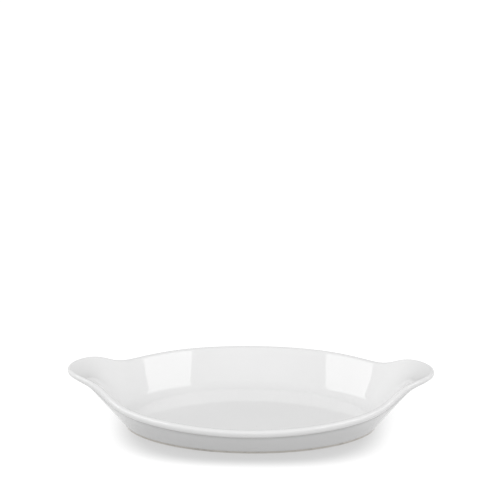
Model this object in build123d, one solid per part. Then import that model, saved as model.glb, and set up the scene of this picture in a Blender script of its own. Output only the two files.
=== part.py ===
"""Oval eared gratin dish: one pressed and fired piece of clay under a coat of glass.

The dish is one closed skin that goes from the foot up the outer wall, over the bead of the rim and down the inner
wall to the floor. At both ends the rim swings out and up into an ear, and both walls follow it, so there is no seam
between bowl and ear. Every line of the skin is one point of a section, carried once around the plan oval.

Frame: millimetres, +X along the ears, +Y across the dish, +Z up, origin on the table under the middle of the dish.
"""

import os
from math import acos, asin, atan2, cos, exp, hypot, pi, sin

from build123d import *

# Driving dimensions of the whole dish
LENGTH = 232.0  # over the tips of both ears
WIDTH = 125.0  # over the rim, across the middle
BOWL_LENGTH = 194.8  # of the plain oval that the rim would have without ears
RIM_HEIGHT = 25.8  # top of the rim above the table, in the middle of a long side
FLOOR_HEIGHT = 5.8  # top of the floor above the table
WALL = 4.5  # thickness of the walls, glaze included
END_DRAW = 17.5  # how far the wall leans in from the rim to the table at an end
SIDE_DRAW = 21.7  # the same in the middle of a long side
FLOOR_CURVE = 12.0  # radius where the inner wall runs into the floor

# Ears and the line of the rim
EAR_RISE = 11.6  # how far the rim climbs on its way out into an ear
EAR_RAMP = 4.9  # how gently it climbs: the smaller, the steeper
EAR_SHOULDER = 22.9  # from the tip of an ear back to the middle of that climb
EAR_HALF_WIDTH = 17.4  # from the middle of an ear to where its reach has mostly died away
RIM_SWEEP = 1.8  # how far the rim climbs along the bowl before an ear begins
RIM_SWEEP_REACH = 65.8  # from the middle of the dish to where most of that climb is done
EAR_DROP = 1.8  # from the rim of an ear down to the knee, where its plate would meet the straight wall
WALL_KNEE = 8.0  # the same height where there is no ear, so that the wall stays straight there
KNEE_WEIGHT = 2.5  # how sharply a wall turns into an ear: 0 cuts the corner, a large value fills it

# Bead along the rim
BEAD_HEIGHT = 4.5
BEAD_STEP = 1.2  # how far the bead stands out from the wall
BEAD_TOP_RADIUS = 2.5
BEAD_LOWER_RADIUS = 1.5
UNDERCUT = acos(1 - BEAD_STEP / BEAD_LOWER_RADIUS)  # turn of the lower rounding, from the face to the crease
LIP_RADIUS = 2.8  # rounding from the top of the rim into the inner wall
EAR_BEAD_SHARE = 0.7  # of these sizes, which hold along the sides, left at the edge of an ear
BEAD_FADE = 0.25  # how far from an ear they begin to shrink: the smaller, the farther

# Foot
FOOT_HEIGHT = 1.5  # of the bare upright edge that the dish stands on
FOOT_INSET = 0.4  # how far that edge leans in on its way down
FOOT_WIDTH = 3.4  # of the ring that stands on the table
FOOT_DEPTH = 1.2  # from the table up to the underside of the floor
FOOT_SLOPE = 0.9  # how far the inner side of the ring leans in over that depth

# Glaze
GLAZE = 0.3
GLAZE_STOP = 0.5  # bare clay left above that edge, so that the dish never sticks to the kiln shelf

# How finely the skin is followed: sections around the dish, and strips up each part of a section
STEPS_AROUND = 96
STEPS_UP = 7
STRIP_EVENNESS = 1.4  # 1 crowds a wall's strips where it bends, more spreads them
FLOOR_STRIPS = 3
SEEN_STRIPS = 3  # in a quarter turn of the rim
HIDDEN_STRIPS = 2  # the same where glaze meets clay


def mix(low, high, share):
    """The value a share of the way from low to high."""
    return low + (high - low) * share


def polar(centre, radius, angle):
    """A point of a section's circle, as distance out and height."""
    return centre[0] + radius * cos(angle), centre[1] + radius * sin(angle)


def shares_of(parts):
    """The shares from 0 to 1 at the ends of equal parts."""
    return [part / parts for part in range(parts + 1)]


def arc(centre, radius, first, last, strips):
    """Points of a section's circle from the first angle to the last, a strip apart."""
    return [polar(centre, radius, mix(first, last, share)) for share in shares_of(strips)]


def along(start, direction, length):
    """The point at a length from start, along a unit direction of a section."""
    return start[0] + direction[0] * length, start[1] + direction[1] * length


class Section:
    """The dish's wall cut upright across the plan oval, at one angle around it.

    Places are (out, height): out is measured along the oval's plan normal, from the oval itself. Each method takes
    the depth below the glazed surface and returns the points of one band, from the foot towards the floor.
    """

    def __init__(self, angle):
        half_length = BOWL_LENGTH / 2
        half_width = WIDTH / 2
        self.oval = (half_length * cos(angle), half_width * sin(angle))
        normal = (cos(angle) / half_length, sin(angle) / half_width)
        self.normal = (normal[0] / hypot(*normal), normal[1] / hypot(*normal))

        # The ear pushes the rim out along the normal and lifts it
        self.ear_share = exp(-((self.oval[1] / EAR_HALF_WIDTH) ** 2))
        self.reach = (LENGTH - BOWL_LENGTH) / 2 * self.ear_share
        ahead = abs(self.oval[0] + self.normal[0] * self.reach)
        bowl_rim = RIM_HEIGHT + RIM_SWEEP * (1 - exp(-((ahead / RIM_SWEEP_REACH) ** 2)))
        past_shoulder = ahead - (LENGTH / 2 - EAR_SHOULDER)
        self.rim = bowl_rim + EAR_RISE / (1 + exp(-past_shoulder / EAR_RAMP))

        # The straight wall that the bowl has where no ear draws it out
        draw = mix(END_DRAW, SIDE_DRAW, sin(angle) ** 2)
        rise = (draw - BEAD_STEP, bowl_rim - BEAD_HEIGHT)
        self.up_wall = (rise[0] / hypot(*rise), rise[1] / hypot(*rise))
        self.inward = (-self.up_wall[1], self.up_wall[0])
        self.heel = (-draw, 0.0)

        # The bead shrinks as a whole on its way out to an ear
        shrink = mix(1, EAR_BEAD_SHARE, self.ear_share**BEAD_FADE)
        self.bead_height, self.bead_step = BEAD_HEIGHT * shrink, BEAD_STEP * shrink
        self.top_radius, self.lower_radius = BEAD_TOP_RADIUS * shrink, BEAD_LOWER_RADIUS * shrink
        self.lip_radius = LIP_RADIUS * shrink

        # The inner side of the rim lies on the line from the inner knee that touches the lip's circle
        self.knee_drop = mix(WALL_KNEE, EAR_DROP, self.ear_share**0.5)
        self.inner_knee = self.on_wall(self.rim - self.knee_drop, WALL)
        self.lip_centre = (self.reach - self.top_radius, self.rim - self.lip_radius)
        sight = (self.lip_centre[0] - self.inner_knee[0], self.lip_centre[1] - self.inner_knee[1])
        self.lip_slope = atan2(sight[1], sight[0]) + asin(self.lip_radius / hypot(*sight))

    def place(self, point):
        """A point of the section as a point of the dish."""
        out, height = point
        return (self.oval[0] + self.normal[0] * out, self.oval[1] + self.normal[1] * out, height)

    def on_wall(self, height, depth):
        """The point of the straight outer wall at a height, a depth below its glaze."""
        start = along(self.heel, self.inward, depth)
        return along(start, self.up_wall, (height - start[1]) / self.up_wall[1])

    def bent_wall(self, start, knee, end, depth):
        """Stations of a conic from start to end that is drawn towards the knee and touches both of its legs.

        Each is moved a depth sideways into the clay (out of it when negative).
        """
        stations = []
        for part in shares_of(STEPS_UP):
            gone, left = part**STRIP_EVENNESS, (1 - part) ** STRIP_EVENNESS
            u = gone / (gone + left)
            shares = (1 - u) ** 2, 2 * KNEE_WEIGHT * u * (1 - u), u**2
            legs = KNEE_WEIGHT * (1 - u) ** 2, u * (1 - u), KNEE_WEIGHT * u**2
            place, heading = [], []
            for from_start, from_knee, from_end in zip(start, knee, end):
                corners = from_start, from_knee, from_end
                place.append(sum(share * corner for share, corner in zip(shares, corners)) / sum(shares))
                steps = from_knee - from_start, from_end - from_start, from_end - from_knee
                heading.append(sum(leg * step for leg, step in zip(legs, steps)))
            side = (-heading[1] / hypot(*heading), heading[0] / hypot(*heading))
            stations.append(along(place, side, depth))
        return stations

    def outer_wall(self, depth):
        """From the glaze's lower edge up to the crease under the bead."""
        start = self.on_wall(FOOT_HEIGHT + GLAZE_STOP, 0.0)
        end = (self.reach - self.bead_step, self.rim - self.bead_height)
        knee = self.on_wall(end[1] - self.knee_drop, 0.0)
        stations = self.bent_wall(start, knee, end, depth)
        stations[-1] = polar(end, -depth, -UNDERCUT)
        return stations

    def bead(self, depth, strips):
        """From the crease over the rim: a small rounding, a quarter turn, and the lip that meets the inner wall.

        The upright face between the two outer roundings is so low that the last strip of the small one covers it.
        """
        crease = self.rim - self.bead_height
        low = (self.reach - self.lower_radius, crease + self.lower_radius * sin(UNDERCUT))
        high = (self.reach - self.top_radius, self.rim - self.top_radius)
        under = arc(low, self.lower_radius - depth, -UNDERCUT, 0.0, strips - 1)
        over = arc(high, self.top_radius - depth, 0.0, pi / 2, strips)
        lip = arc(self.lip_centre, self.lip_radius - depth, pi / 2, pi / 2 + self.lip_slope, strips - 1)
        return under[:-1] + over + lip[1:]

    def inner_wall(self, depth):
        """From the floor's curve up to the lip."""
        start = along(self.curve_centre(), self.inward, -FLOOR_CURVE)
        end = polar(self.lip_centre, self.lip_radius, pi / 2 + self.lip_slope)
        return self.bent_wall(start, self.inner_knee, end, -depth)

    def curve_centre(self):
        """Middle of the curve that is tangent to both the inner wall and the floor."""
        start = along(self.heel, self.inward, WALL + FLOOR_CURVE)
        height = FLOOR_HEIGHT + FLOOR_CURVE
        return along(start, self.up_wall, (height - start[1]) / self.up_wall[1])

    def floor_curve(self, depth):
        """From the level floor to the foot of the inner wall."""
        last = atan2(-self.inward[1], -self.inward[0])
        return arc(self.curve_centre(), FLOOR_CURVE + depth, -pi / 2, last, FLOOR_STRIPS)

    def foot_ring(self):
        """The bare foot: glaze edge, top of the upright edge, and outer and inner edge of the ring on the table."""
        glaze_edge = self.outer_wall(GLAZE)[0]
        foot_top = self.on_wall(FOOT_HEIGHT, GLAZE)
        outer = (foot_top[0] - FOOT_INSET, 0.0)
        return [glaze_edge, foot_top, outer, (outer[0] - FOOT_WIDTH, 0.0)]

    def underside(self, depth):
        """The inner side of the foot ring, from where its glaze begins up to the floor's underside."""
        inner = self.foot_ring()[-1]
        lean = FOOT_SLOPE / FOOT_DEPTH
        low = (inner[0] - lean * GLAZE_STOP - depth, GLAZE_STOP)
        return [low, (inner[0] - FOOT_SLOPE - depth, FOOT_DEPTH - depth)]


ANGLES = [2 * pi * (step + 0.5) / STEPS_AROUND for step in range(STEPS_AROUND)]
SECTIONS = [Section(angle) for angle in ANGLES]


def ring(points):
    """A closed smooth line around the dish through one point of each section."""
    spacing = list(range(STEPS_AROUND + 1))
    places = [section.place(point) for section, point in zip(SECTIONS, points)]
    return Wire([Edge.make_spline(places, periodic=True, parameters=spacing)])


def rings(band):
    """The lines around the dish through each station of a band, given as a function of the section."""
    stations = zip(*[band(section) for section in SECTIONS])
    return [ring(points) for points in stations]


def skin(lines):
    """The strips between each two neighbours in a run of lines around the dish."""
    return Shell.make_loft(lines, ruled=True).faces()


def upper_skin(depth, strips):
    """Every face from the glaze's lower edge, over the rim, to the level floor, and the first and last line."""
    wall = rings(lambda section: section.outer_wall(depth))
    bead = rings(lambda section: section.bead(depth, strips))
    inner_wall = rings(lambda section: section.inner_wall(depth))
    floor_curve = rings(lambda section: section.floor_curve(depth))
    faces = skin(wall) + skin(bead) + skin(inner_wall) + skin(floor_curve)
    return faces, wall[0], floor_curve[0]


def solid_of(faces):
    """One solid closed by the faces."""
    solid = Solid(Shell(faces))
    return solid if solid.volume > 0 else Solid(solid.wrapped.Reversed())


def clay_body():
    """The fired clay: all of the dish below its glaze, with the bare ring that it stands on."""
    faces, glaze_edge, floor_edge = upper_skin(GLAZE, HIDDEN_STRIPS)
    foot = rings(lambda section: section.foot_ring())
    recess = rings(lambda section: section.underside(0.0))[-1]
    faces += [Face(floor_edge)]
    faces += skin([glaze_edge, foot[1]]) + skin([foot[1], foot[2]])
    faces += [Face(foot[2], [foot[3]])]
    faces += skin([foot[3], recess]) + [Face(recess)]
    return solid_of(faces)


def upper_glaze():
    """The coat over the walls, rim, ears and floor, from the foot's bare edge on."""
    outside, outer_edge, outer_floor = upper_skin(0.0, SEEN_STRIPS)
    inside, inner_edge, inner_floor = upper_skin(GLAZE, HIDDEN_STRIPS)
    faces = outside + inside + skin([outer_edge, inner_edge])
    faces += [Face(outer_floor), Face(inner_floor)]
    return solid_of(faces)


def underside_glaze():
    """The coat under the floor, inside the foot ring."""
    outside = rings(lambda section: section.underside(GLAZE))
    inside = rings(lambda section: section.underside(0.0))
    faces = skin(outside) + skin(inside) + skin([outside[0], inside[0]])
    faces += [Face(outside[-1]), Face(inside[-1])]
    return solid_of(faces)


def main():
    """Write each piece to its own file."""
    os.makedirs("parts", exist_ok=True)
    pieces = {"clay_body": clay_body(), "upper_glaze": upper_glaze(), "underside_glaze": underside_glaze()}
    for name, piece in pieces.items():
        export_step(piece, f"parts/{name}.step")
        print(name, "valid" if piece.is_valid else "not valid", round(piece.volume), "mm3")


main()
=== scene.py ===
"""Oval eared gratin dish, white glazed, on a pale studio floor.

The dish is one skin: a section of its wall, carried once around the plan oval. The section runs from the foot up the
outer wall, over the bead of the rim and down the inner wall to the floor, and at both ends it is drawn out and up
into an ear. The glaze is a closed coat on that skin, the bare foot ring is the clay below it.
"""

import bpy
import numpy as np
from bpy.props import FloatProperty, FloatVectorProperty, IntProperty, PointerProperty
from bpy.types import Operator, Panel, PropertyGroup
from mathutils import Matrix, Quaternion, Vector


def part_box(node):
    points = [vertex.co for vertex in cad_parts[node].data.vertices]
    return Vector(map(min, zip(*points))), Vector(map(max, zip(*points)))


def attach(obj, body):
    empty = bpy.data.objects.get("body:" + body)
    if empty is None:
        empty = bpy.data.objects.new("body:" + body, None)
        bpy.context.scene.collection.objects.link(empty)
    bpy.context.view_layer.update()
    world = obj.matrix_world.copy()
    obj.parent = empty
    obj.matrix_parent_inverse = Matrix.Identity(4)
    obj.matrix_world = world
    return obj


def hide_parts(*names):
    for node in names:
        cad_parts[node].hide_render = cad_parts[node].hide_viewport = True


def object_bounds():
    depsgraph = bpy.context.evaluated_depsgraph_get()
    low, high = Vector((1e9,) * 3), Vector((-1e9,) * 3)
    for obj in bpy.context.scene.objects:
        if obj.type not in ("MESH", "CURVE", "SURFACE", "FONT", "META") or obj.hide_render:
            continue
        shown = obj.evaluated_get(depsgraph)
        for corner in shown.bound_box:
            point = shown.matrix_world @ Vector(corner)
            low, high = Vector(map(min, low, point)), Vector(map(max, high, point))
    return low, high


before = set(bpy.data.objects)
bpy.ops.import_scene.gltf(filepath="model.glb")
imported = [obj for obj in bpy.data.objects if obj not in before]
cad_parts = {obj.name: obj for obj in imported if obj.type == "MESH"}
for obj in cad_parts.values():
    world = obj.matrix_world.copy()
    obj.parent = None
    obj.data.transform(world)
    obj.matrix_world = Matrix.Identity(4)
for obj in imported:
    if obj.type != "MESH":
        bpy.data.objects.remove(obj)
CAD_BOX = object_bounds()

bl_info = {
    "name": "Gratin dish",
    "version": (1, 0, 0),
    "blender": (4, 5, 0),
    "location": "3D View > Sidebar > Gratin Dish",
    "description": "Builds an oval eared gratin dish with its glaze and a studio around it",
    "category": "Add Mesh",
}

MILLIMETRE = 0.001
CAD_LOW, CAD_HIGH = (Vector(corner) for corner in CAD_BOX)
GLAZE_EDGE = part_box("upper_glaze")[0].z

# The render's frame and the camera's film, in pixels and millimetres
FRAME_PIXELS = 500.0
FILM_WIDTH = 36.0

# Rows of points in each stretch of the dish's skin, at a fineness of 1
WALL_ROWS, BEAD_ROWS, INNER_ROWS, CURVE_ROWS = 6, 4, 7, 4


# Sizes and colours


def length(name, description, millimetres):
    """A size in metres, given in millimetres."""
    return FloatProperty(name=name, description=description, default=millimetres * MILLIMETRE,
                         min=0.0, precision=5, unit="LENGTH", subtype="DISTANCE")


def angle(name, description, degrees):
    """An angle in radians, given in degrees."""
    return FloatProperty(name=name, description=description, default=np.radians(degrees),
                         unit="ROTATION", subtype="ANGLE")


def factor(name, description, default):
    """A number without a unit."""
    return FloatProperty(name=name, description=description, default=default)


def numbers(name, description, *default):
    """A few numbers without a unit."""
    return FloatVectorProperty(name=name, description=description, default=default, size=len(default))


def count(name, description, default):
    """A whole number."""
    return IntProperty(name=name, description=description, default=default, min=1)


def colour(name, description, default):
    """A colour in linear light."""
    return FloatVectorProperty(name=name, description=description, default=default, size=3,
                               min=0.0, max=1.0, subtype="COLOR")


class DishShape(PropertyGroup):
    """Sizes of the dish, over its glaze."""

    length: length("Length", "Over the tips of both ears", (CAD_HIGH.x - CAD_LOW.x) / MILLIMETRE)
    width: length("Width", "Over the rim, across the middle", (CAD_HIGH.y - CAD_LOW.y) / MILLIMETRE)
    bowl_length: length("Bowl length", "Of the oval that the rim would have without ears", 194.8)
    rim_height: length("Rim height", "In the middle of a long side", 25.8)
    floor_height: length("Floor height", "Top of the floor above the table", 5.8)
    wall: length("Wall", "Thickness of the walls", 4.5)
    end_draw: length("End draw", "How far an end wall leans in from rim to table", 17.5)
    side_draw: length("Side draw", "How far a side wall leans in from rim to table", 21.7)
    floor_curve: length("Floor curve", "Radius where the inner wall runs into the floor", 12.0)
    ear_rise: length("Ear rise", "How far the rim climbs into an ear", 11.6)
    ear_ramp: length("Ear ramp", "How gently it climbs", 4.9)
    ear_shoulder: length("Ear shoulder", "From an ear's tip to the middle of that climb", 22.9)
    ear_half_width: length("Ear half width", "Where an ear's reach has mostly died away", 17.4)
    rim_sweep: length("Rim sweep", "How far the rim climbs before an ear begins", 1.8)
    rim_sweep_reach: length("Rim sweep reach", "Where most of that climb is done", 65.8)
    ear_drop: length("Ear drop", "From an ear's rim down to where its plate meets the wall", 1.8)
    wall_knee: length("Wall knee", "The same height where there is no ear", 8.0)
    knee_weight: factor("Knee weight", "How sharply the wall turns into an ear", 2.5)
    bead_height: length("Bead height", "Of the thickened edge along the sides", 4.5)
    bead_top_radius: length("Bead top radius", "Outer rounding on top of the rim", 2.5)
    bead_lower_radius: length("Bead lower radius", "Rounding under the bead", 1.5)
    bead_step: length("Bead step", "How far the bead stands out from the wall", 1.2)
    lip_radius: length("Lip radius", "Rounding from the rim into the inner wall", 2.8)
    ear_bead: factor("Ear bead", "Share of the bead's size left at the edge of an ear", 0.7)
    bead_fade: factor("Bead fade", "How far from an ear the bead begins to shrink: the smaller, the farther", 0.25)
    foot_height: length("Foot height", "Of the bare upright edge that the dish stands on", 1.5)
    foot_inset: length("Foot inset", "How far that edge leans in on its way down", 0.4)
    foot_width: length("Foot width", "Of the ring that stands on the table", 3.4)
    foot_depth: length("Foot depth", "From the table up to the underside of the floor", 1.2)
    foot_slope: length("Foot slope", "How far the ring's inner side leans in over that depth", 0.9)
    foot_rounding: length("Foot rounding", "Where the ring's edges are sponged smooth", 0.35)


class GlazeLook(PropertyGroup):
    """Thickness, finish and small flaws of the glaze."""

    thickness: length("Thickness", "Of the coat on the clay", 0.3)
    edge_roll: length("Edge roll", "Height over which the coat rounds off at the bare foot", 0.4)
    under_stop: length("Bare inner edge", "Height at which the underside's coat begins", 0.5)
    colour: colour("Colour", "Of the glazed dish", (0.87, 0.87, 0.87))
    cloud_shade: factor("Cloud shade", "How bright the faint clouds in that colour are", 0.985)
    cloud_size: length("Cloud size", "Of those clouds", 45.0)
    # Painted shade: the crease under the bead is darkened towards this grey, down the wall and up the bead's rounding.
    crease_shade_colour: colour("Pool colour", "Of the thick glaze in the crease under the bead", (0.68, 0.68, 0.68))
    crease_shade_down: length("Pool down", "How far down the wall the pooled glaze reaches", 4.5)
    crease_shade_up: length("Pool up", "How far up the bead it reaches", 0.9)
    roughness: factor("Roughness", "Of the glossy surface where it is smoothest", 0.03)
    refraction: factor("Refraction", "Index of the glass, which sets how strongly it mirrors", 1.52)
    haze: factor("Haze", "How much rougher the dullest places are", 0.02)
    haze_size: length("Haze size", "Of those places", 30.0)
    wave_size: length("Wave size", "Of the slow wave that bends reflections", 22.0)
    wave_height: length("Wave height", "Of that wave", 0.03)
    peel_size: length("Peel size", "Of the faint orange peel", 1.6)
    peel_height: length("Peel height", "Of the orange peel", 0.0012)
    speck_colour: colour("Speck colour", "Of the few pin-sized specks", (0.56, 0.55, 0.53))
    speck_spacing: length("Speck spacing", "How far apart the specks lie", 16.0)
    speck_radius: length("Speck radius", "Of the largest specks", 0.32)
    speck_depth: length("Speck depth", "Of the pinhole in each speck", 0.05)
    around: count("Columns", "Lines from foot to floor in the meshes", 540)


class ClayLook(PropertyGroup):
    """Finish of the bare clay on the foot ring."""

    colour: colour("Colour", "Of the fired clay", (0.74, 0.71, 0.66))
    scuff_colour: colour("Scuff colour", "Of the worn face that slides on shelves", (0.50, 0.48, 0.45))
    scuff_size: length("Scuff size", "Of the worn patches", 6.0)
    scuff_share: factor("Scuff share", "How far a worn patch goes towards its colour", 0.5)
    roughness: factor("Roughness", "Of the bare clay where it is smoothest", 0.62)
    refraction: factor("Refraction", "Index of the clay, which sets its faint sheen", 1.5)
    grain_roughness: factor("Grain roughness", "How much rougher the grain makes it", 0.3)
    grain_size: length("Grain size", "Of the clay's grain", 0.7)
    grain_height: length("Grain height", "Of the clay's grain", 0.06)


class StudioSetup(PropertyGroup):
    """Camera, light and floor."""

    distance: length("Camera distance", "From the camera to the dish", 1400.0)
    elevation: angle("Camera elevation", "Of the camera above the table", 27.28)
    turn: angle("Turn", "Of the camera around the dish, to the right", -1.2)
    scale: factor("Scale", "Photograph pixels per millimetre at the dish", 1.559)
    aim_x: factor("Aim across", "Photograph pixel where the middle of the foot is seen", 250.63)
    aim_y: factor("Aim down", "Photograph pixel where the middle of the foot is seen", 423.03)
    view_reach: length("View reach", "How far the camera sees", 20000.0)
    sky_base: factor("Sky base", "Even light from all around", 0.239)
    sky_left: factor("Sky left", "More light from the left", 0.85)
    sky_right: factor("Sky right", "More light from the right", 0.68)
    sky_corner: factor("Sky corner", "More light from the front on the right", 1.01)
    sky_low: factor("Sky low", "More light from low on both sides", 0.8)
    low_sharpness: factor("Low sharpness", "How fast that light fades away from the sides", 4.0)
    low_reach: factor("Low reach", "Sine of the elevation at which it has faded", 0.5)
    sky_high: factor("Sky high", "A broad glow high behind the camera", 0.93)
    high_elevation: angle("High elevation", "Of the middle of that glow", 60.0)
    high_sharpness: factor("High sharpness", "How fast that glow fades around its middle", 8.0)
    softbox_light: factor("Softbox light", "Brightness of a softbox, on the scale of the sky's", 2.45)
    softbox_distance: length("Softbox distance", "From the dish to each softbox", 2500.0)
    softbox_roll: angle("Softbox roll", "Of each softbox about its own axis", 39.0)
    softbox_way: numbers("Softbox way", "Right, back and up from the dish to the right softbox", 0.62, -0.30, 0.72)
    right_size: numbers("Right size", "Width and height of the right softbox at a distance of 1", 0.50, 0.455)
    right_offset: numbers("Right offset", "How far its middle lies outwards and up, at that distance", -0.063, 0.153)
    left_size: numbers("Left size", "Width and height of the left softbox at a distance of 1", 0.67, 0.47)
    left_offset: numbers("Left offset", "How far its middle lies outwards and up, at that distance", 0.175, 0.165)
    table_half: length("Table half size", "From the middle of the floor to each of its edges", 6000.0)
    table_glow: factor("Table glow", "Light that the floor gives the dish from below", 0.38)
    table_albedo: factor("Table albedo", "Share of light that the floor throws back at the dish", 0.15)
    # The floor's glow as the camera sees it is dimmer close to the foot: a painted shadow inside a rounded oval.
    seen_glow: factor("Seen glow", "Light of the floor as the camera sees it", 0.85)
    seen_shade: factor("Seen shade", "The same in the shade close to the foot", 0.49)
    seen_albedo: factor("Seen albedo", "Share of light that the floor throws at the camera", 0.25)
    shade_squareness: factor("Shade squareness", "2 makes the shade an ellipse, more squares its ends", 3.0)
    shade_length: length("Shade length", "Half the length of the oval where the shade ends", 94.0)
    shade_width: length("Shade width", "Half the width of that oval", 64.0)
    shade_start: factor("Shade start", "Share of that oval where the shade begins to fade", 0.74)


# Surfaces


class Sections:
    """The dish's wall cut upright across the plan oval at many angles at once.

    Arrays run over the angles. Places are (out, height) pairs of arrays: out is measured along the oval's plan normal
    from the oval itself. The oval is (half length * cos, half width * sin) of the angle. A depth is always measured
    from the surface of the glaze into the wall.
    """

    def __init__(self, shape, columns):
        self.shape = shape
        turn = 2 * np.pi * (np.arange(columns) + 0.5) / columns
        cosine, sine = np.cos(turn), np.sin(turn)
        half_length, half_width = shape.bowl_length / 2, shape.width / 2
        self.oval = np.array([half_length * cosine, half_width * sine])
        normal = np.array([cosine / half_length, sine / half_width])
        self.normal = normal / np.hypot(*normal)

        # An ear's reach falls off across the dish as a bell curve, and its rise follows how far out the rim has gone
        self.ear_share = np.exp(-((self.oval[1] / shape.ear_half_width) ** 2))
        self.reach = (shape.length - shape.bowl_length) / 2 * self.ear_share
        ahead = np.abs(self.oval[0] + self.normal[0] * self.reach)
        sweep = shape.rim_sweep * (1 - np.exp(-((ahead / shape.rim_sweep_reach) ** 2)))
        past_shoulder = ahead - (shape.length / 2 - shape.ear_shoulder)
        self.rim = shape.rim_height + sweep + shape.ear_rise / (1 + np.exp(-past_shoulder / shape.ear_ramp))

        # The straight wall that the bowl has where no ear draws it out
        draw = shape.end_draw + (shape.side_draw - shape.end_draw) * sine**2
        rise = np.array([draw - shape.bead_step, shape.rim_height + sweep - shape.bead_height])
        self.up_wall = rise / np.hypot(*rise)
        self.inward = np.array([-self.up_wall[1], self.up_wall[0]])
        self.heel = np.array([-draw, np.zeros(columns)])
        self.knee_drop = shape.wall_knee + (shape.ear_drop - shape.wall_knee) * np.sqrt(self.ear_share)

        # The bead shrinks as a whole on its way out to an ear
        shrink = 1 + (shape.ear_bead - 1) * self.ear_share**shape.bead_fade
        self.bead_height, self.bead_step = shape.bead_height * shrink, shape.bead_step * shrink
        self.top_radius, self.lower_radius = shape.bead_top_radius * shrink, shape.bead_lower_radius * shrink
        self.lip_radius = shape.lip_radius * shrink
        self.undercut = np.arccos(1 - shape.bead_step / shape.bead_lower_radius)

        # The inner side of the rim lies on the line from the inner wall's knee that touches the lip's circle
        self.inner_knee = self.on_wall(self.rim - self.knee_drop, shape.wall)
        self.lip_centre = np.array([self.reach - self.top_radius, self.rim - self.lip_radius])
        sight = self.lip_centre - self.inner_knee
        self.lip_slope = np.arctan2(sight[1], sight[0]) + np.arcsin(self.lip_radius / np.hypot(*sight))

    def place(self, path):
        """Rows of (out, height) as points of the dish: oval + normal * out, and height."""
        out, height = path[:, 0], path[:, 1]
        across = self.oval[None] + self.normal[None] * out[:, None]
        return np.stack([across[:, 0], across[:, 1], height], axis=-1)

    def on_wall(self, height, depth):
        """The point of the straight outer wall at a height, a depth below its glaze."""
        start = self.heel + self.inward * depth
        return start + self.up_wall * (height - start[1]) / self.up_wall[1]

    def bent_wall(self, start, knee, end, depth, rows):
        """A conic from start to end that is drawn towards the knee and touches both of its legs.

        Each point is the mean of start, knee and end with the shares (1 - u)^2, 2 w u (1 - u) and u^2, where w is the
        knee's weight, and is then moved a depth along the curve's own normal.
        """
        weight = self.shape.knee_weight
        u = np.linspace(0, 1, rows)[:, None, None]
        shares = (1 - u) ** 2, 2 * weight * u * (1 - u), u**2
        path = (shares[0] * start + shares[1] * knee + shares[2] * end) / sum(shares)
        heading = weight * (1 - u) ** 2 * (knee - start) + u * (1 - u) * (end - start) + weight * u**2 * (end - knee)
        heading = heading / np.hypot(heading[:, 0], heading[:, 1])[:, None]
        return path + np.stack([-heading[:, 1], heading[:, 0]], axis=1) * depth

    def arc(self, centre, radius, first, last, rows):
        """Part of a circle in the section: centre + radius * (cos, sin) of turns from first to last."""
        share = np.linspace(0, 1, rows)[:, None]
        turns = first + (last - first) * share
        return centre[None] + radius * np.stack([np.cos(turns), np.sin(turns)], axis=1)

    def outer_wall(self, foot_edge, depth, rows):
        """From the glaze's lower edge up to the crease under the bead."""
        start = self.on_wall(foot_edge, 0.0)
        end = np.array([self.reach - self.bead_step, self.rim - self.bead_height])
        knee = self.on_wall(end[1] - self.knee_drop, 0.0)
        path = self.bent_wall(start, knee, end, depth, rows)
        path[-1] = end - depth * np.array([[np.cos(self.undercut)], [-np.sin(self.undercut)]])
        return path

    def bead(self, depth, rows):
        """The rounding under the bead, its upright face, and over the rim until the inner wall takes over."""
        level, quarter = np.zeros_like(self.rim), np.full_like(self.rim, np.pi / 2)
        undercut = np.full_like(self.rim, -self.undercut)
        rise = self.lower_radius * np.sin(self.undercut)
        low = np.array([self.reach - self.lower_radius, self.rim - self.bead_height + rise])
        outside = np.array([self.reach - self.top_radius, self.rim - self.top_radius])
        under = self.arc(low, self.lower_radius - depth, undercut, level, rows)
        over = self.arc(outside, self.top_radius - depth, level, quarter, rows)
        lip = self.arc(self.lip_centre, self.lip_radius - depth, quarter, quarter + self.lip_slope, rows)
        return np.concatenate([under, over, lip[1:]])

    def curve_centre(self):
        """Middle of the floor curve, which is tangent to both the inner wall and the floor."""
        shape = self.shape
        start = self.heel + self.inward * (shape.wall + shape.floor_curve)
        rise = shape.floor_height + shape.floor_curve - start[1]
        return start + self.up_wall * rise / self.up_wall[1]

    def inner_wall(self, depth, rows):
        """From the lip down to the floor's curve."""
        shape = self.shape
        start = self.curve_centre() - self.inward * shape.floor_curve
        turn = np.pi / 2 + self.lip_slope
        end = self.lip_centre + self.lip_radius * np.array([np.cos(turn), np.sin(turn)])
        return self.bent_wall(start, self.inner_knee, end, -depth, rows)[::-1]

    def floor_curve(self, depth, rows):
        """From the foot of the inner wall to the level floor."""
        first = np.arctan2(-self.inward[1], -self.inward[0])
        straight_down = np.full_like(self.rim, -np.pi / 2)
        return self.arc(self.curve_centre(), self.shape.floor_curve + depth, first, straight_down, rows)

    def rolled_edge(self, foot_edge, look, rows):
        """The coat's lower edge: a quarter of an ellipse from the clay out to the full thickness of the glaze."""
        turn = np.linspace(0, np.pi / 2, rows)
        heights = foot_edge + look.edge_roll * (1 - np.cos(turn))
        depths = look.thickness * (1 - np.sin(turn))
        return np.array([self.on_wall(height, depth) for height, depth in zip(heights, depths)])

    def foot(self, look, rows):
        """The bare foot ring, from below the glaze round its two sponged edges to the underside of the floor."""
        shape = self.shape
        zero = np.zeros_like(self.rim)
        top = self.on_wall(shape.foot_height, look.thickness)
        outer = np.array([top[0] - shape.foot_inset, zero])
        inner = np.array([outer[0] - shape.foot_width, zero])
        recess = np.array([inner[0] - shape.foot_slope, zero + shape.foot_depth])
        edges = [self.sponged(*corners, rows) for corners in ((top, outer, inner), (outer, inner, recess))]
        return np.concatenate([top[None], *edges, recess[None]])

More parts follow.
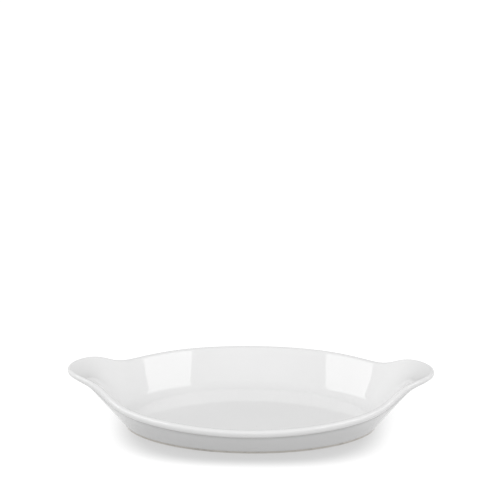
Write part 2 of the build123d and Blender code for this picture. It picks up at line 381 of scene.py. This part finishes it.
    def sponged(self, before, corner, after, rows):
        """A corner rounded off: the parabola that touches both of its legs a rounding away from it."""
        legs = [leg / np.hypot(*leg) * self.shape.foot_rounding for leg in (before - corner, after - corner)]
        share = np.linspace(0, 1, rows)[:, None, None]
        return corner + (1 - share) ** 2 * legs[0] + share**2 * legs[1]

    def under_coat(self, look, thickness):
        """The inner side of the foot ring from where its glaze begins, and the edge of the floor's underside.

        Both are a thickness of glaze away from the clay, towards the recess inside the ring.
        """
        shape = self.shape
        recess = self.foot(look, rows=2)[-1]
        rise = (shape.foot_depth - look.under_stop) / shape.foot_depth
        low = [recess[0] + shape.foot_slope * rise - thickness, np.full_like(self.rim, look.under_stop)]
        return np.array([low, [recess[0] - thickness, recess[1] - thickness]])

    def crease_shading(self, path, look):
        """1 along the crease under the bead, falling smoothly to 0 down the wall and up the bead's rounding.

        The share 1 - distance / reach is smoothed as 3 s^2 - 2 s^3. It sets the painted shade.
        The path's second half lies inside the dish, where none is painted.
        """
        above = path[:, 1] - (self.rim - self.bead_height)
        share = 1 - np.abs(above) / np.where(above < 0, look.crease_shade_down, look.crease_shade_up)
        share = np.clip(share, 0, 1)
        outside = np.arange(len(path))[:, None] < len(path) // 2
        return np.where(outside, share * share * (3 - 2 * share), 0.0)

    def skin(self, foot_edge, depth, fineness):
        """All of the dish's upper skin, from the foot's edge to the edge of the level floor."""
        wall = self.outer_wall(foot_edge, depth, WALL_ROWS * fineness)
        bead = self.bead(depth, BEAD_ROWS * fineness)
        inner = self.inner_wall(depth, INNER_ROWS * fineness)
        curve = self.floor_curve(depth, CURVE_ROWS * fineness)
        return np.concatenate([wall, bead[1:], inner[1:], curve[1:]])


def level_disc(edge, rows):
    """Rings from a closed line in to its middle, and the middle: the line shrunk evenly to nothing."""
    middle = edge.mean(axis=0)
    share = np.linspace(1, 0, rows, endpoint=False)[1:, None, None]
    return middle + (edge - middle) * share, middle


def closed_skin(name, rings, first_pole, last_pole, crease_shade=None):
    """A closed surface: rings of points with equal counts, each joined to the next, and a point at each end.

    A quad takes two neighbours on one ring and the same two on the next. A cap is a fan of triangles around its point.
    The last argument says how much shade is painted into the glaze's colour at each point of the rings.
    """
    rows, columns = rings.shape[:2]
    points = np.concatenate([rings.reshape(-1, 3), [first_pole, last_pole]])
    row, column = np.meshgrid(np.arange(rows - 1), np.arange(columns), indexing="ij")
    ahead = (column + 1) % columns
    quads = np.stack([row * columns + column, row * columns + ahead,
                      (row + 1) * columns + ahead, (row + 1) * columns + column], axis=-1).reshape(-1, 4)
    this, following = np.arange(columns), (np.arange(columns) + 1) % columns
    first_cap = np.stack([following, this, np.full(columns, rows * columns)], axis=-1)
    last_row = (rows - 1) * columns
    last_cap = np.stack([last_row + this, last_row + following, np.full(columns, rows * columns + 1)], axis=-1)
    caps = np.concatenate([first_cap, last_cap])

    # The signed volume tells whether the faces look outwards
    corners = points[np.concatenate([quads[:, :3], quads[:, [0, 2, 3]], caps])]
    volume = np.einsum("ij,ij->i", corners[:, 0], np.cross(corners[:, 1], corners[:, 2])).sum()
    if volume < 0:
        quads, caps = quads[:, ::-1], caps[:, ::-1]

    mesh = bpy.data.meshes.new(name)
    mesh.from_pydata(points.tolist(), [], quads.tolist() + caps.tolist())
    if mesh.validate():
        raise RuntimeError(f"{name}: the surface had faces that had to be mended")
    mesh.shade_smooth()
    # The painted crease shade is stored on the points as an attribute.
    if crease_shade is not None:
        values = np.concatenate([crease_shade.ravel(), [0.0, 0.0]]).astype(np.float32)
        mesh.attributes.new("crease_shade", "FLOAT", "POINT").data.foreach_set("value", values)
    piece = bpy.data.objects.new(name, mesh)
    bpy.context.scene.collection.objects.link(piece)
    return piece


# Materials


class Value:
    """The output of a node, wrapped so that plain arithmetic on numbers adds the Math nodes."""

    def __init__(self, tree, socket):
        self.tree = tree
        self.socket = socket

    def math(self, operation, other=0.0):
        """One Math node on this value and another value or number."""
        return self.tree.add("ShaderNodeMath", {"operation": operation}, {0: self, 1: other})

    def __add__(self, other):
        return self.math("ADD", other)

    def __mul__(self, other):
        return self.math("MULTIPLY", other)

    def __neg__(self):
        return self * -1.0

    def __sub__(self, other):
        return self + -other

    def __rsub__(self, other):
        return -self + other

    def __truediv__(self, other):
        return self.math("DIVIDE", other)

    def __rtruediv__(self, other):
        return self.math("POWER", -1.0) * other

    __radd__ = __add__
    __rmul__ = __mul__

    def smooth(self, low, high):
        """0 below low, 1 above high, and a smooth step between them."""
        settings = {"interpolation_type": "SMOOTHSTEP"}
        return self.tree.add("ShaderNodeMapRange", settings, {"Value": self, "From Min": low, "From Max": high})


class ShaderTree:
    """The nodes of one material, or of the world."""

    def __init__(self, owner):
        self.owner = owner
        self.owner.use_nodes = True
        self.nodes = self.owner.node_tree.nodes
        self.nodes.clear()

    def add(self, kind, settings=None, inputs=None, output=0):
        """A node of a kind, with its settings first and then the values or links of its sockets.

        Gives one of its outputs, or the node itself where it has none.
        """
        node = self.nodes.new(kind)
        for name, setting in (settings or {}).items():
            setattr(node, name, setting)
        for name, value in (inputs or {}).items():
            if isinstance(value, Value):
                self.owner.node_tree.links.new(value.socket, node.inputs[name])
            else:
                node.inputs[name].default_value = value
        return Value(self, node.outputs[output]) if node.outputs else node

    def position(self):
        """The place on the piece, in metres."""
        return self.add("ShaderNodeTexCoord", output="Object")

    def noise(self, size, detail):
        """Cloudy noise around a half, with features about one size across, in metres."""
        inputs = {"Vector": self.position(), "Scale": 1 / size, "Detail": detail}
        return self.add("ShaderNodeTexNoise", {"noise_dimensions": "3D"}, inputs)

    def spots(self, spacing, radius):
        """1 in the middle half of round spots strewn about a spacing apart in space, falling to 0 at their radius."""
        inputs = {"Vector": self.position(), "Scale": 1 / spacing, "Randomness": 1.0}
        distance = self.add("ShaderNodeTexVoronoi", {"feature": "F1"}, inputs, "Distance")
        return 1 - distance.smooth(0.5 * radius / spacing, radius / spacing)

    def mix_colours(self, share, low, high):
        """The colour a share of the way from low to high, each a colour or a value."""
        low, high = (part if isinstance(part, Value) else (*part, 1.0) for part in (low, high))
        return self.add("ShaderNodeMix", {"data_type": "RGBA"}, {"Factor": share, 6: low, 7: high}, 2)

    def bump(self, height, metres, normal=None):
        """A normal that tilts as if the surface rose by metres where height is 1."""
        inputs = {"Height": height, "Distance": metres, "Strength": 1.0}
        if normal:
            inputs["Normal"] = normal
        return self.add("ShaderNodeBump", {}, inputs)

    def finish(self, shader, kind="ShaderNodeOutputMaterial"):
        """Ends the tree in a shader and returns the material or world."""
        self.add(kind, {}, {"Surface": shader})
        return self.owner


def glaze_material(look):
    """Smooth glossy glaze: a slow wave, a faint orange peel, and a few specks and pinholes."""
    tree = ShaderTree(bpy.data.materials.new("white_glaze"))
    specks = tree.spots(look.speck_spacing, look.speck_radius)
    clouds = tree.noise(look.cloud_size, detail=3.0).smooth(low=0.3, high=0.7)
    tint = tree.mix_colours(clouds, [look.cloud_shade * part for part in look.colour], look.colour)
    # Painted shade: the colour darkens towards grey along the crease under the bead, by the mask stored on the mesh.
    crease_shade = tree.add("ShaderNodeAttribute", {"attribute_name": "crease_shade"}, output="Fac")
    tint = tree.mix_colours(crease_shade, tint, look.crease_shade_colour)
    wave = tree.bump(tree.noise(look.wave_size, detail=1.0), look.wave_height)
    peel = tree.bump(tree.noise(look.peel_size, detail=2.0), look.peel_height, wave)
    dents = tree.bump(1 - specks, look.speck_depth, peel)
    shader = tree.add("ShaderNodeBsdfPrincipled", {}, {
        "Base Color": tree.mix_colours(specks, tint, look.speck_colour),
        "Roughness": look.roughness + look.haze * tree.noise(look.haze_size, detail=2.0),
        "IOR": look.refraction,
        "Normal": dents,
    })
    return tree.finish(shader)


def clay_material(look):
    """Bare fired clay: fine grain, and faint grey scuffs in patches."""
    tree = ShaderTree(bpy.data.materials.new("fired_clay"))
    grain = tree.noise(look.grain_size, detail=4.0)
    scuffs = tree.noise(look.scuff_size, detail=5.0).smooth(low=0.5, high=0.68)
    tint = tree.mix_colours(scuffs * look.scuff_share, look.colour, look.scuff_colour)
    shader = tree.add("ShaderNodeBsdfPrincipled", {}, {
        "Base Color": tint,
        "Roughness": look.roughness + look.grain_roughness * grain,
        "IOR": look.refraction,
        "Normal": tree.bump(grain, look.grain_height),
    })
    return tree.finish(shader)


def floor_material(studio):
    """A matte white light table. The camera, and what mirrors the table, sees it brighter than it lights the dish.

    Close to the foot the camera sees it in shade: partly the real shadow on its matte part, and partly a painted
    shadow, a dimmer glow inside a rounded oval. A place's share of the way to the open table is
    (|x / half length|^n + |y / half width|^n)^(1 / n), which is 1 along a rounded oval.
    """
    tree = ShaderTree(bpy.data.materials.new("studio_floor"))
    seen = tree.add("ShaderNodeLightPath", output="Is Camera Ray")
    mirrored = tree.add("ShaderNodeLightPath", output="Is Glossy Ray")
    across, along = (tree.add("ShaderNodeSeparateXYZ", {}, {"Vector": tree.position()}, axis) for axis in "XY")
    shares = ((place / half).math("ABSOLUTE").math("POWER", studio.shade_squareness)
              for place, half in ((across, studio.shade_length), (along, studio.shade_width)))
    open_share = sum(shares).math("POWER", 1 / studio.shade_squareness).smooth(studio.shade_start, 1.0)
    shaded, lit = ([glow] * 3 for glow in (studio.seen_shade, studio.seen_glow))

    def table(albedo, glow):
        """A matte sheet that glows a little by itself."""
        matte = tree.add("ShaderNodeBsdfDiffuse", {}, {"Color": (albedo, albedo, albedo, 1.0)})
        light = tree.add("ShaderNodeEmission", {}, {"Color": glow, "Strength": 1.0})
        return tree.add("ShaderNodeAddShader", {}, {0: matte, 1: light})

    lighting = table(studio.table_albedo, (*[studio.table_glow] * 3, 1.0))
    # Painted shadow: the glow that the camera sees is dimmer inside the oval around the foot.
    looks = table(studio.seen_albedo, tree.mix_colours(open_share, shaded, lit))
    which = seen.math("MAXIMUM", mirrored)
    return tree.finish(tree.add("ShaderNodeMixShader", {}, {0: which, 1: lighting, 2: looks}))


# Pieces


def finish_piece(piece, material, node):
    """Gives a piece its material, puts it under its body, and hides the imported part that it stands for."""
    piece.data.materials.append(material)
    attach(piece, "root")
    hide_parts(node)


class DISH_OT_upper_glaze(Operator):
    """Builds the coat over the walls, rim, ears and floor"""

    bl_idname = "dish.upper_glaze"
    bl_label = "Upper glaze"

    def execute(self, context):
        look = context.scene.glaze_look
        sections = Sections(context.scene.dish_shape, look.around)
        roll = sections.rolled_edge(GLAZE_EDGE, look, rows=6)
        path = np.concatenate([roll[:-1], sections.skin(GLAZE_EDGE + look.edge_roll, depth=0.0, fineness=4)])
        outside = sections.place(path)
        floor_rings, outer_pole = level_disc(outside[-1], rows=16)
        inside = sections.place(sections.skin(GLAZE_EDGE, look.thickness, fineness=1))
        under_rings, inner_pole = level_disc(inside[-1], rows=3)

        # From the middle of the floor out over the rim and down to the foot, and back on the clay's side
        rings = np.concatenate([floor_rings[::-1], outside[::-1], inside[1:], under_rings])
        # How much shade is painted into the glaze's colour along the crease under the bead, at each point.
        crease_shade = np.zeros(rings.shape[:2])
        crease_shade[len(floor_rings):len(floor_rings) + len(path)] = sections.crease_shading(path, look)[::-1]
        piece = closed_skin("upper_glaze_coat", rings, outer_pole, inner_pole, crease_shade)
        finish_piece(piece, glaze_material(look), "upper_glaze")
        return {"FINISHED"}


class DISH_OT_underside_glaze(Operator):
    """Builds the coat under the floor, inside the foot ring"""

    bl_idname = "dish.underside_glaze"
    bl_label = "Underside glaze"

    def execute(self, context):
        look = context.scene.glaze_look
        sections = Sections(context.scene.dish_shape, look.around)
        outside = sections.place(sections.under_coat(look, look.thickness))
        inside = sections.place(sections.under_coat(look, 0.0))
        floor_rings, outer_pole = level_disc(outside[-1], rows=12)
        inner_rings, inner_pole = level_disc(inside[-1], rows=3)
        rings = np.concatenate([floor_rings[::-1], outside[::-1], inside, inner_rings])
        piece = closed_skin("underside_glaze_coat", rings, outer_pole, inner_pole)
        finish_piece(piece, glaze_material(look), "underside_glaze")
        return {"FINISHED"}


class DISH_OT_clay(Operator):
    """Builds the fired clay below the glaze, with its bare foot ring"""

    bl_idname = "dish.clay"
    bl_label = "Clay body"

    def execute(self, context):
        look = context.scene.glaze_look
        sections = Sections(context.scene.dish_shape, look.around)
        upper = sections.place(sections.skin(GLAZE_EDGE, look.thickness, fineness=2))
        foot = sections.place(sections.foot(look, rows=6))
        floor_rings, floor_pole = level_disc(upper[-1], rows=3)
        recess_rings, recess_pole = level_disc(foot[-1], rows=3)
        rings = np.concatenate([floor_rings[::-1], upper[::-1], foot, recess_rings])
        piece = closed_skin("fired_clay_body", rings, floor_pole, recess_pole)
        finish_piece(piece, clay_material(context.scene.clay_look), "clay_body")
        return {"FINISHED"}


# Studio


def softbox(name, studio, side, size, offset):
    """A rectangular lamp that faces the dish from high on one side, 1 for the right and -1 for the left.

    Its size, and the offset of its middle along its own width and height, are given for a distance of 1. Its power is
    pi times its area times its brightness.
    """
    across, back, up = studio.softbox_way
    away = Vector((across * side, back, up)).normalized()
    turn = away.to_track_quat("Z", "Y") @ Quaternion((0.0, 0.0, 1.0), -studio.softbox_roll * side)
    middle = away + turn @ Vector((offset[0] * side, offset[1], 0.0))
    lamp = bpy.data.lights.new(name, "AREA")
    lamp.shape = "RECTANGLE"
    lamp.size, lamp.size_y = (part * studio.softbox_distance for part in size)
    lamp.energy = studio.softbox_light * np.pi * lamp.size * lamp.size_y
    holder = bpy.data.objects.new(name, lamp)
    holder.location = middle * studio.softbox_distance
    holder.rotation_euler = turn.to_euler()
    bpy.context.scene.collection.objects.link(holder)


class DISH_OT_studio(Operator):
    """Builds the floor, the lamps, the sky and the camera"""

    bl_idname = "dish.studio"
    bl_label = "Studio"

    def execute(self, context):
        studio = context.scene.studio
        self.floor(studio)
        self.sky(studio)
        softbox("softbox_right", studio, 1, studio.right_size, studio.right_offset)
        softbox("softbox_left", studio, -1, studio.left_size, studio.left_offset)
        self.camera(studio)
        context.scene.view_settings.view_transform = "Standard"
        return {"FINISHED"}

    def floor(self, studio):
        """A pale sheet far wider than the view."""
        half = studio.table_half
        mesh = bpy.data.meshes.new("studio_floor")
        corners = [(-half, -half, 0), (half, -half, 0), (half, half, 0), (-half, half, 0)]
        mesh.from_pydata(corners, [], [(0, 1, 2, 3)])
        mesh.materials.append(floor_material(studio))
        sheet = bpy.data.objects.new("studio_floor", mesh)
        bpy.context.scene.collection.objects.link(sheet)

    def sky(self, studio):
        """Soft light all around: an even base, and lobes left, right, front right, low at both sides and high front.

        A lobe is a power or product of how far a direction points its way, so all of them fade smoothly.
        """
        tree = ShaderTree(bpy.data.worlds.new("studio_sky"))
        toward = tree.add("ShaderNodeTexCoord", output="Generated")
        x, y, z = (tree.add("ShaderNodeSeparateXYZ", {}, {"Vector": toward}, axis) for axis in "XYZ")
        left, right, front = (part.math("MAXIMUM") for part in (-x, x, -y))
        side = x.math("ABSOLUTE").math("POWER", studio.low_sharpness)
        low = (1 - z.math("MAXIMUM") / studio.low_reach).math("MAXIMUM")
        high = (z * np.sin(studio.high_elevation) - y * np.cos(studio.high_elevation)).math("MAXIMUM")
        strength = (studio.sky_base + studio.sky_left * left * left + studio.sky_right * right * right
                    + studio.sky_corner * right * front + studio.sky_low * side * low
                    + studio.sky_high * high.math("POWER", studio.high_sharpness))
        light = tree.add("ShaderNodeBackground", {}, {"Color": (1.0, 1.0, 1.0, 1.0), "Strength": strength})
        bpy.context.scene.world = tree.finish(light, "ShaderNodeOutputWorld")

    def camera(self, studio):
        """The camera looks past the dish, so that the dish sits low in the frame without any shift."""
        focal_pixels = studio.scale * studio.distance / MILLIMETRE
        pitch = np.arctan((studio.aim_y - FRAME_PIXELS / 2) / focal_pixels)
        yaw = np.arctan((studio.aim_x - FRAME_PIXELS / 2) / focal_pixels)
        lens = bpy.data.cameras.new("studio_camera")
        lens.sensor_width = FILM_WIDTH
        lens.lens = focal_pixels * FILM_WIDTH / FRAME_PIXELS
        lens.clip_end = studio.view_reach
        camera = bpy.data.objects.new("studio_camera", lens)
        look_down = Matrix.Rotation(np.pi / 2 - studio.elevation + pitch, 4, "X")
        swing = Matrix.Rotation(yaw, 4, "Y")
        away = Matrix.Translation((0, -studio.distance * np.cos(studio.elevation),
                                   studio.distance * np.sin(studio.elevation)))
        around = Matrix.Rotation(-studio.turn, 4, "Z")
        camera.matrix_world = around @ away @ look_down @ swing
        bpy.context.scene.collection.objects.link(camera)
        bpy.context.scene.camera = camera


class DISH_PT_panel(Panel):
    """Sizes, finishes and steps of the gratin dish"""

    bl_idname = "DISH_PT_panel"
    bl_label = "Gratin Dish"
    bl_space_type = "VIEW_3D"
    bl_region_type = "UI"
    bl_category = "Gratin Dish"

    def draw(self, context):
        for operator in OPERATORS:
            self.layout.operator(operator.bl_idname)
        for name, group in GROUPS.items():
            box = self.layout.box()
            settings = getattr(context.scene, name)
            for prop in group.__annotations__:
                box.prop(settings, prop)


GROUPS = {"dish_shape": DishShape, "glaze_look": GlazeLook, "clay_look": ClayLook, "studio": StudioSetup}
OPERATORS = (DISH_OT_upper_glaze, DISH_OT_underside_glaze, DISH_OT_clay, DISH_OT_studio)


def register():
    """Registers the groups, operators and panel."""
    for kind in (*GROUPS.values(), *OPERATORS, DISH_PT_panel):
        bpy.utils.register_class(kind)
    for name, group in GROUPS.items():
        setattr(bpy.types.Scene, name, PointerProperty(type=group))


def unregister():
    """Takes everything off again, last first."""
    for name in GROUPS:
        delattr(bpy.types.Scene, name)
    for kind in reversed((*GROUPS.values(), *OPERATORS, DISH_PT_panel)):
        bpy.utils.unregister_class(kind)


def main():
    """Builds everything."""
    register()
    bpy.ops.dish.upper_glaze()
    bpy.ops.dish.underside_glaze()
    bpy.ops.dish.clay()
    bpy.ops.dish.studio()


if __name__ == "__main__":
    main()
